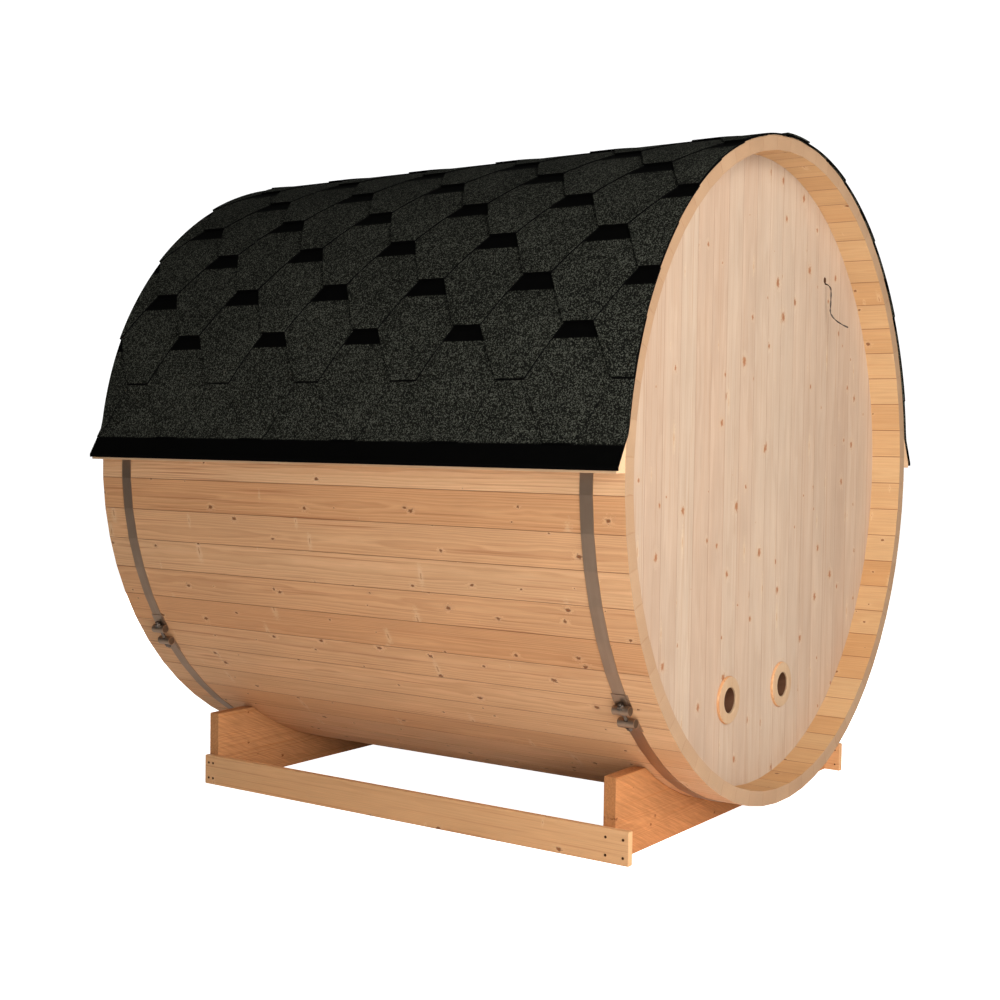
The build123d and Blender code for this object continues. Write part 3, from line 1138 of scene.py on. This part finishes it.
@dataclass
class BoardedEnds:
    """End walls of upright boards, with the rear wall's vents and the front wall's door."""

    form: BarrelForm
    boards: Timber
    door_boards: Timber
    trim: Timber
    steel: BandSteel
    shade: MattFinish
    shaded_turned_edge: Timber
    bore_radius: float = 36.5 * MM
    collar_round: float = 5 * MM
    collar_lip: float = 1.5 * MM
    collar_curve: float = 0.3
    smooth_angle: float = math.radians(35.0)
    weld: float = 0.05 * MM
    edge_test: float = 0.5
    shade_sheet_wall: float = 0.4 * MM
    shade_sheet_front: float = 4 * MM
    cable_hole: Pair = (-457.14 * MM, 1598.12 * MM)
    cable_hole_radius: float = 10 * MM
    collar_facets: int = 64
    trim_round: float = 3 * MM
    pull_post_share: float = 1.25

    def build(self) -> None:
        """Builds both ends."""
        wall = self.boards.material()
        trim = self.trim.material()
        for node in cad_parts:
            if node.startswith("front_wall_") or node == "rear_end_wall":
                dress(node, wall)
        dress("door_leaf", self.door_boards.material())
        # the hinges share the strip's steel, whose brown is a painted reflection
        dress("door_hinges", self.steel.material())
        self.collars([trim, self.shaded_turned_edge.material()])
        self.shade_sheets(self.shade.material())
        self.casing(trim)
        self.pull(trim)

    def collars(self, materials: Sequence[Material]) -> Piece:
        """Turns the two vent collars.

        Args:
            materials: wood of their faces, and a warmer wood on their turned edges that is painted shade.

        Returns:
            The piece.
        """
        low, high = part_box("vent_collars")
        depth = high.y - low.y
        height = (low.z + high.z) / 2
        outer, inner = (high.z - low.z) / 2, self.bore_radius
        work = Timberwork("vent_collars_turned")
        centres = (low.x + outer, high.x - outer)
        shoulder = self.collar_curve * self.collar_round
        for x in centres:
            section = [
                (inner, 0.0),
                (outer, 0.0),
                (outer, depth - self.collar_round),
                (outer - shoulder, depth - shoulder),
                (outer - self.collar_round, depth),
                (inner + self.collar_lip, depth),
                (inner, depth - self.collar_lip),
            ]
            corners = [work.bm.verts.new((x + r, low.y + y, height)) for r, y in section]
            ring = [work.bm.edges.new((a, b)) for a, b in zip(corners, corners[1:] + corners[:1])]
            bmesh.ops.spin(
                work.bm,
                geom=corners + ring,
                cent=(x, low.y, height),
                axis=(0.0, 1.0, 0.0),
                angle=2 * math.pi,
                steps=self.collar_facets,
                use_merge=True,
            )
            bmesh.ops.remove_doubles(work.bm, verts=work.fresh(), dist=self.weld)
            work.claim(UP, ACROSS_BARREL)
        bmesh.ops.recalc_face_normals(work.bm, faces=work.bm.faces[:])
        # faces that look outwards get the warmer wood, as painted shade
        for face in work.bm.faces:
            middle = face.calc_center_median()
            spokes = [Vector((middle.x - x, 0.0, middle.z - height)) for x in centres]
            spoke = min(spokes, key=lambda v: v.length)
            if face.normal.dot(spoke.normalized()) > self.edge_test:
                face.material_index = 1
        piece = work.piece(materials, "turned_wood", "vent_collars")
        piece.data.shade_smooth()
        piece.data.set_sharp_from_angle(angle=self.smooth_angle)
        return piece

    def shade_sheets(self, material: Material) -> Piece:
        """Lines the vents and the cable's hole with dark sheets of painted shade, so that they look dark from
        outside.

        Args:
            material: their finish.

        Returns:
            The piece.
        """
        low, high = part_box("vent_collars")
        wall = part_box("rear_end_wall")
        outer = (high.z - low.z) / 2
        bm = bmesh.new()
        holes = [(x, low.z + outer, self.bore_radius) for x in (low.x + outer, high.x - outer)]
        for x, z, radius in (*holes, (*self.cable_hole, self.cable_hole_radius)):
            back, front = wall[0].y, wall[1].y + (self.shade_sheet_front if radius == self.bore_radius else 0.0)
            at = Matrix.Translation((x, (back + front) / 2, z)) @ Matrix.Rotation(math.pi / 2, 4, "X")
            inside = radius - self.shade_sheet_wall
            add_bar(bm, at, (inside, inside), front - back, self.collar_facets, capped=False)
        bmesh.ops.recalc_face_normals(bm, faces=bm.faces[:])
        bmesh.ops.solidify(bm, geom=bm.faces[:], thickness=-self.shade_sheet_wall / 2)
        return make_piece("vent_shade_sheets", bm, [material], "turned_wood")

    def casing(self, material: Material) -> None:
        """Builds the door's casing.

        Args:
            material: its wood.
        """
        for part in ("right", "left", "head", "sill"):
            node = f"door_casing_{part}"
            low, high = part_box(node)
            work = Timberwork(f"casing_{part}")
            work.block(low, high)
            work.ease(self.trim_round)
            upright = part in ("right", "left")
            work.claim(UP if upright else ACROSS_BARREL, ACROSS_BARREL if upright else UP)
            work.piece([material], "door_wood", node)

    def pull(self, material: Material) -> None:
        """Builds the door's wooden pull.

        Args:
            material: its wood.
        """
        low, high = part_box("door_pull")
        middle = (low.y + high.y) / 2
        post = (high.x - low.x) * self.pull_post_share
        work = Timberwork("pull_bar")
        work.block(low, (high.x, middle, high.z))
        work.ease(self.trim_round * 2, 3)
        work.claim(UP, ACROSS_BARREL)
        for z in (low.z, high.z - post):
            work.block((low.x, middle, z), (high.x, high.y, z + post))
            work.ease(self.trim_round, 2)
            work.claim(ALONG_BARREL, UP)
        work.piece([material], "turned_wood", "door_pull")


@dataclass
class Bands:
    """Steel bands, with the bolts of their tensioners and hexagonal nuts at the bolts' ends."""

    form: BarrelForm
    strip: BandSteel
    bolts: BandSteel
    nut_width: float = 17 * MM
    nut_height: float = 8 * MM
    nut_sides: int = 6
    nut_corner_share: float = 1.1547
    nut_round: float = 0.6 * MM
    washer_width: float = 21 * MM
    washer_height: float = 2 * MM
    washer_sides: int = 24
    span: float = 46 * MM
    eye_outside: float = 13.1 * MM
    eye_seat_share: float = 0.82
    stand_off: float = 13.1 * MM
    staves_down: tuple[int, int] = (7, 6)

    def build(self) -> None:
        """Dresses the bands and adds the nuts."""
        strip = self.strip.material()
        zinc = self.bolts.material()
        for end in ("rear", "front"):
            dress(f"steel_band_{end}", strip)
        dress("band_tensioners", zinc)
        self.nuts(zinc)

    def nuts(self, material: Material) -> Piece:
        """Builds a nut and a washer at each end of both bolts.

        Args:
            material: their zinc.

        Returns:
            The piece.
        """
        bm = bmesh.new()
        for end, staves in zip(("rear", "front"), self.staves_down):
            low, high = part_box(f"steel_band_{end}")
            angle = -staves * self.form.step
            place = Matrix.Translation(
                self.form.point(self.form.flat_radius + self.stand_off, angle, (low.y + high.y) / 2)
            )
            turned = place @ Matrix.Rotation(-angle, 4, "Y")
            for sign in (-1.0, 1.0):
                seat = self.span / 2 + self.eye_outside * self.eye_seat_share
                for width, height, sides in (
                    (self.washer_width, self.washer_height, self.washer_sides),
                    (self.nut_width * self.nut_corner_share, self.nut_height, self.nut_sides),
                ):
                    at = turned @ Matrix.Translation((0.0, 0.0, sign * (seat + height / 2)))
                    verts = add_bar(bm, at, (width / 2, width / 2), height, sides)
                    round_edges(bm, {e for v in verts for e in v.link_edges}, self.nut_round)
                    seat += height
        return make_piece("tensioner_nuts", bm, [material], "band_steel")


@dataclass
class Base:
    """Cradles, side rails and their sunk screws, and the cant strips under the eaves."""

    form: BarrelForm
    sawn: Timber
    rail_wood: Timber
    cant_wood: Timber
    zinc: BandSteel
    edge_round: float = 2.5 * MM
    seat_angle: float = 0.6
    cant_nose: float = 14 * MM
    cant_round: float = 0.8 * MM
    screw_radius: float = 4.2 * MM
    screw_taper: float = 0.85
    screw_facets: int = 16
    tip_radius: float = 5 * MM
    tip_length: float = 5 * MM
    tip_facets: int = 12
    screw_stand: float = 0.7 * MM
    screw_recess: tuple[Pair, ...] = ((0.3, 0.0), (0.05, 0.5 * MM))
    rear_columns: Pair = (739 * MM, 791 * MM)
    front_columns: Pair = (-690 * MM, -672 * MM)
    screw_heights: Pair = (20 * MM, 67 * MM)

    def build(self) -> None:
        """Builds the base."""
        self.cradles(self.sawn.material())
        self.rails(self.rail_wood.material())
        self.screws(self.zinc.material())
        self.cants(self.cant_wood.material())

    def cradles(self, material: Material) -> None:
        """Saws both cradles to the barrel's facets.

        Args:
            material: their wood.
        """
        form = self.form
        for end in ("rear", "front"):
            low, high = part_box(f"cradle_{end}")
            work = Timberwork(f"cradle_{end}_sawn")
            rim = form.half_width(high.z)
            corners = [-(index + 0.5) * form.step for index in range(form.stave_count // 2)]
            seats = [form.point(form.radius, angle) for angle in corners]
            outline = [
                (low.x, high.z),
                (low.x, low.z),
                (high.x, low.z),
                (high.x, high.z),
                (rim, high.z),
                *((seat.x, seat.z) for seat in seats if seat.z < high.z),
                (-rim, high.z),
            ]
            work.prism(outline, low.y, high.y)
            work.ease(self.edge_round, steep=self.seat_angle)
            work.claim(ACROSS_BARREL, UP)
            work.piece([material], "base_wood", f"cradle_{end}")

    def rails(self, material: Material) -> None:
        """Builds both side rails.

        Args:
            material: their wood.
        """
        for side in ("right", "left"):
            low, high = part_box(f"base_rail_{side}")
            work = Timberwork(f"rail_{side}")
            work.block(low, high)
            work.ease(self.edge_round)
            work.claim(ALONG_BARREL, UP)
            work.piece([material], "base_wood", f"base_rail_{side}")

    def screws(self, material: Material) -> Piece:
        """Sets screw heads into the rails' outer faces; those past the cradle come out on the inside.

        Args:
            material: their zinc.

        Returns:
            The piece.
        """
        bm = bmesh.new()
        for side, sign in (("right", 1.0), ("left", -1.0)):
            low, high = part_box(f"base_rail_{side}")
            outer = high.x if sign > 0 else low.x
            for y, z in itertools.product(self.rear_columns + self.front_columns, self.screw_heights):
                at = Matrix.Translation((outer, y, z)) @ Matrix.Rotation(sign * math.pi / 2, 4, "Y")
                radii = (self.screw_radius, self.screw_radius * self.screw_taper)
                head = add_bar(bm, at, radii, 2 * self.screw_stand, self.screw_facets)
                faces = {f for v in head for f in v.link_faces}
                top = max(faces, key=lambda f: sign * f.normal.x)
                for share, depth in self.screw_recess:
                    bmesh.ops.inset_region(bm, faces=[top], thickness=self.screw_radius * share, depth=-depth)
            inner = low.x if sign > 0 else high.x
            for z in self.screw_heights:
                at = Matrix.Translation((inner, max(self.rear_columns), z))
                at @= Matrix.Rotation(-sign * math.pi / 2, 4, "Y")
                add_bar(bm, at, (self.tip_radius, 0.0), 2 * self.tip_length, self.tip_facets)
        return make_piece("rail_screws", bm, [material], "band_steel")

    def cants(self, material: Material) -> None:
        """Planes the cant strips that throw the eaves out.

        Args:
            material: their wood.
        """
        form = self.form
        for side, sign in (("right", 1.0), ("left", -1.0)):
            low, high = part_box(f"eave_cant_strip_{side}")
            tip = high.x if sign > 0 else -low.x
            corner = form.point(form.radius, form.step / 2)
            outline = [
                (form.flat_radius, low.z),
                (tip, low.z),
                (tip, low.z + self.cant_nose),
                (form.half_width(high.z), high.z),
                (corner.x, corner.z),
            ]
            work = Timberwork(f"cant_{side}")
            work.prism([(sign * x, z) for x, z in outline], low.y, high.y)
            work.ease(self.cant_round)
            work.claim(ALONG_BARREL, UP)
            work.piece([material], "cant_wood", f"eave_cant_strip_{side}")


@dataclass
class OutletCable:
    """Two thin twisted cores that hang out of the rear wall."""

    sheath: Sheath
    diameter: float = 4 * MM
    core_share: float = 0.3
    core_facets: int = 8
    twist: float = 55 * MM
    curve_order: int = 3
    curve_steps: int = 16
    outlet: Point = (-457.14 * MM, 816 * MM, 1590.42 * MM)
    route: tuple[Point, ...] = (
        (0.0, -24 * MM, 0.0),
        (0.0, 20 * MM, 0.0),
        (4 * MM, 24 * MM, -52 * MM),
        (-4 * MM, 16 * MM, -114 * MM),
        (-27 * MM, 70 * MM, -140 * MM),
    )

    def line(self) -> list[Vector]:
        """Reads the smooth line that the route's points steer.

        Returns:
            Points along the line, in the object's frame.
        """
        curve = bpy.data.curves.new("cable_route", "CURVE")
        curve.dimensions = "3D"
        spline = curve.splines.new("NURBS")
        spline.points.add(len(self.route) - 1)
        for point, step in zip(spline.points, self.route):
            point.co = (*(Vector(self.outlet) + Vector(step)), 1.0)
        spline.order_u = self.curve_order
        spline.use_endpoint_u = True
        spline.resolution_u = self.curve_steps
        holder = bpy.data.objects.new("cable_route", curve)
        mesh = bpy.data.meshes.new_from_object(holder)
        points = [v.co.copy() for v in mesh.vertices]
        bpy.data.objects.remove(holder)
        bpy.data.meshes.remove(mesh)
        bpy.data.curves.remove(curve)
        return points

    def build(self) -> Piece:
        """Twists the two cores round the line.

        Returns:
            The piece.
        """
        points = self.line()
        bm = bmesh.new()
        core = self.diameter * self.core_share
        for turn in (0.0, math.pi):
            self.core(bm, points, core, turn)
        bmesh.ops.recalc_face_normals(bm, faces=bm.faces[:])
        piece = make_piece("outlet_cable", bm, [self.sheath.material()], "cable_sheath", "wall_cable")
        piece.data.shade_smooth()
        return piece

    def core(self, bm: Mesh, points: Sequence[Vector], radius: float, turn: float) -> None:
        """Draws one core as a tube that winds round the line.

        Args:
            bm: mesh that gets the tube.
            points: the line.
            radius: radius of the core, and its distance from the line.
            turn: angle at which it starts.
        """
        travelled = 0.0
        ring: list[bmesh.types.BMEdge] = []
        for index, point in enumerate(points):
            ahead = points[min(index + 1, len(points) - 1)] - points[max(index - 1, 0)]
            if index:
                travelled += (point - points[index - 1]).length
            facing = ahead.to_track_quat("Z", "X").to_matrix().to_4x4()
            wind = Matrix.Rotation(turn + 2 * math.pi * travelled / self.twist, 4, "Z")
            at = Matrix.Translation(point) @ facing @ wind @ Matrix.Translation((radius, 0.0, 0.0))
            end = index in (0, len(points) - 1)
            made = bmesh.ops.create_circle(
                bm, cap_ends=end, segments=self.core_facets, radius=radius, matrix=at
            )
            edges = list({e for v in made["verts"] for e in v.link_edges})
            if ring:
                bmesh.ops.bridge_loops(bm, edges=ring + edges)
            ring = edges


@dataclass(frozen=True)
class Lamp:
    """Soft square lamp, with its place and aim, its side in metres and its power in watts."""

    name: str
    place: Point
    aim: Point
    size: float
    power: float

    def hang(self) -> None:
        """Hangs the lamp in the scene."""
        data = bpy.data.lights.new(self.name, "AREA")
        data.size = self.size
        data.energy = self.power
        lamp = bpy.data.objects.new(self.name, data)
        facing = (Vector(self.aim) - Vector(self.place)).to_track_quat("-Z", "Y").to_matrix().to_4x4()
        lamp.matrix_world = Matrix.Translation(self.place) @ facing
        bpy.context.scene.collection.objects.link(lamp)


@dataclass
class Studio:
    """Pale floor, soft lights and the camera."""

    camera_place: Point = (4.0096, 2.6624, 1.0823)
    yaw: float = math.radians(-145.4592)
    pitch: float = math.radians(-2.2986)
    roll: float = math.radians(0.8265)
    lens: float = 53.824
    sensor: float = 36.0
    floor_size: float = 40.0
    floor_colour: str = "#fbfaf9"
    floor_roughness: Pair = (0.85, 0.95)
    floor_patch: float = 1.25
    sky_colour: str = "#ffffff"
    sky_seen: float = 1.1
    sky_light: float = 0.08
    floor_glow: float = 1.1
    lamps: tuple[Lamp, ...] = (
        Lamp("main softbox", (2.6, 5.0, 1.6), (0.0, 0.6, 0.9), 3.2, 259.0),
        Lamp("high softbox", (1.4, 4.6, 3.4), (0.0, 0.6, 0.7), 2.4, 103.0),
        Lamp("side softbox", (4.6, 1.6, 1.6), (0.0, 0.2, 0.9), 2.0, 28.0),
        Lamp("back fill", (-3.4, -4.6, 1.6), (0.0, -0.6, 0.9), 3.2, 200.0),
        Lamp("inside glow", (0.0, 0.2, 1.5), (0.0, 0.2, 0.5), 0.5, 0.25),
    )

    def build(self) -> None:
        """Builds the stage."""
        self.camera()
        self.floor()
        self.sky()
        for lamp in self.lamps:
            lamp.hang()

    def camera(self) -> None:
        """Sets the camera where the picture was taken from."""
        data = bpy.data.cameras.new("camera")
        data.lens = self.lens
        data.sensor_width = self.sensor
        camera = bpy.data.objects.new("camera", data)
        turn = Matrix.Rotation(self.yaw - math.pi / 2, 4, "Z")
        tilt = Matrix.Rotation(math.pi / 2 + self.pitch, 4, "X")
        lean = Matrix.Rotation(self.roll, 4, "Z")
        camera.matrix_world = Matrix.Translation(self.camera_place) @ turn @ tilt @ lean
        bpy.context.scene.collection.objects.link(camera)
        bpy.context.scene.camera = camera

    def floor(self) -> None:
        """Lays the floor."""
        material, node, shader = new_material("pale floor")
        cloud = node("TexNoise", {"Vector": node("TexCoord", out="Object"), "Scale": 1 / self.floor_patch})
        seen = node("LightPath", out="Is Camera Ray")
        fill(
            shader,
            {
                "Base Color": srgb(self.floor_colour),
                "Roughness": node("MapRange", {"Value": cloud, **between("To", self.floor_roughness)}),
                "Emission Color": srgb(self.floor_colour),
                "Emission Strength": node("Math", {0: seen, 1: self.floor_glow}, operation="MULTIPLY"),
            },
        )
        bm = bmesh.new()
        bmesh.ops.create_grid(bm, x_segments=1, y_segments=1, size=self.floor_size)
        mesh = bpy.data.meshes.new("floor")
        bm.to_mesh(mesh)
        bm.free()
        mesh.materials.append(material)
        floor = bpy.data.objects.new("floor", mesh)
        bpy.context.scene.collection.objects.link(floor)

    def sky(self) -> None:
        """Surrounds the scene with white, which lights it less brightly than it looks."""
        world = bpy.data.worlds.new("white surround")
        world.use_nodes = True
        tree = world.node_tree
        tree.nodes.clear()
        seen = add_node(tree, "LightPath", out="Is Camera Ray")
        lit = {"Value": seen, **between("To", (self.sky_light, self.sky_seen))}
        strength = add_node(tree, "MapRange", lit)
        white = {"Color": srgb(self.sky_colour), "Strength": strength}
        surround = add_node(tree, "Background", white)
        fill(tree.nodes.new("ShaderNodeOutputWorld"), {"Surface": surround})
        bpy.context.scene.world = world
        bpy.context.scene.view_settings.view_transform = "Standard"


def main() -> None:
    """Builds the object and its stage."""
    logging.basicConfig(level=logging.INFO, format="%(name)s: %(message)s")
    form = BarrelForm.read()
    # planed faces are warm, with resin streaks and dark joints
    stave_face = Timber(
        "planed spruce staves",
        "#e8c098",
        "#c18b5f",
        ("#fff9f0", "#edd2b8"),
        ring_strength=0.42,
        streak="#a05428",
        streak_strength=0.6,
        joint_mm=1.6,
        joint_strength=0.7,
    )
    # the inside is calmer and darker, with painted shade, and only its joints stand out
    stave_inside_shaded = Timber(
        "planed spruce inside, painted shade",
        "#d2af85",
        "#c09467",
        ("#fff9f0", "#f2dcc4"),
        streak_strength=0.2,
        joint_mm=2.0,
        joint_strength=0.85,
    )
    # sawn ends are duller and greyer, with no knots
    stave_ends = Timber(
        "sawn spruce ends",
        "#a88b6f",
        "#9a795a",
        ("#fffaf4", "#f6ece2"),
        joint="#8a6244",
        joint_strength=0.3,
        streak_strength=0.1,
        knot_mm=(1.0, 1.0),
        spike_mm=(1.0, 1.0),
    )
    # wall boards are pale, with many small knots and a shaded line at each joint
    wall_boards = Timber(
        "planed spruce boards",
        "#b6a18d",
        "#a78c75",
        ("#fffcf8", "#faf1ea"),
        Lay.UPRIGHT,
        knot="#965f38",
        heart="#8a5228",
        pale="#cfb490",
        knot_mm=(12.0, 9.0),
        knot_cell_mm=(160.0, 90.4),
        knot_rarity=0.5,
        spike="#a06a3a",
        spike_mm=(28.0, 5.0),
        streak="#98663a",
        streak_strength=0.6,
        streak_mm=3.6,
        board_mm=90.4,
        first_joint_mm=48.5,
        joint="#7c4a28",
        joint_mm=1.3,
        joint_strength=0.8,
    )
    door_boards = Timber("planed spruce door", "#cdb295", "#bd9a78", ("#fffaf4", "#f6eade"), Lay.UPRIGHT)
    # planed trim is nearly clear of knots
    trim = Timber(
        "planed spruce trim",
        "#b9a083",
        "#ab8d6e",
        ("#fffaf4", "#f6eade"),
        knot_mm=(2.0, 1.5),
        spike_mm=(2.0, 3.0),
    )
    # rough sawn wood is dull, with slanting saw ridges
    sawn = Timber(
        "rough sawn spruce",
        "#c49061",
        "#a6734c",
        ("#fff8f0", "#f4e0cc"),
        saw_mm=5.0,
        roughness=0.8,
        ring_strength=0.5,
        pale="#a87850",
        knot_mm=(5.0, 4.0),
        spike_mm=(2.0, 4.0),
    )
    rail_wood = Timber(
        "sawn spruce rails",
        "#dbb083",
        "#c59566",
        ("#fffaf4", "#f4e2d0"),
        spike_mm=(4.0, 12.0),
    )
    cant_wood = Timber("sawn spruce cant", "#d8b591", "#c49a73", ("#fffaf4", "#f4e2d0"))
    # felt is nearly black, and grey only where its granules catch the light
    granules = Granules("slate granules", "#0a0b08", "#1b1c16", "#505148", 2.5)
    bitumen = MattFinish("smooth bitumen", "#020202", "#040403")
    # the dark sheets in the bores are painted shade
    shade = MattFinish("shaded vent bore", "#583a28", "#6c4a36")
    # the strip's brown is a painted reflection of the wood around it, and the bolts are darker
    strip = BandSteel("rolled stainless strip, painted reflection", "#c2a78f", "#8f7662", axis_height=form.axis_height)
    zinc = BandSteel("zinc plated bolts", "#968c82", "#4c443d", 0.34, axis_height=form.axis_height)
    screw = BandSteel("dark screw heads", "#6a4a34", "#3d2818", 0.6, axis_height=form.axis_height)
    sheath = Sheath("cable sheath", "#33241a", "#4a382a")
    Studio().build()
    OutletCable(sheath).build()
    StavedBarrel(form, stave_face, stave_ends, stave_inside_shaded).build()
    ShingleRoof(form, granules, bitumen).build()
    # the stave wood on the collars' edges is painted shade
    BoardedEnds(form, wall_boards, door_boards, trim, strip, shade, stave_face).build()
    Bands(form, strip, zinc).build()
    Base(form, sawn, rail_wood, cant_wood, screw).build()


if __name__ == "__main__":
    main()
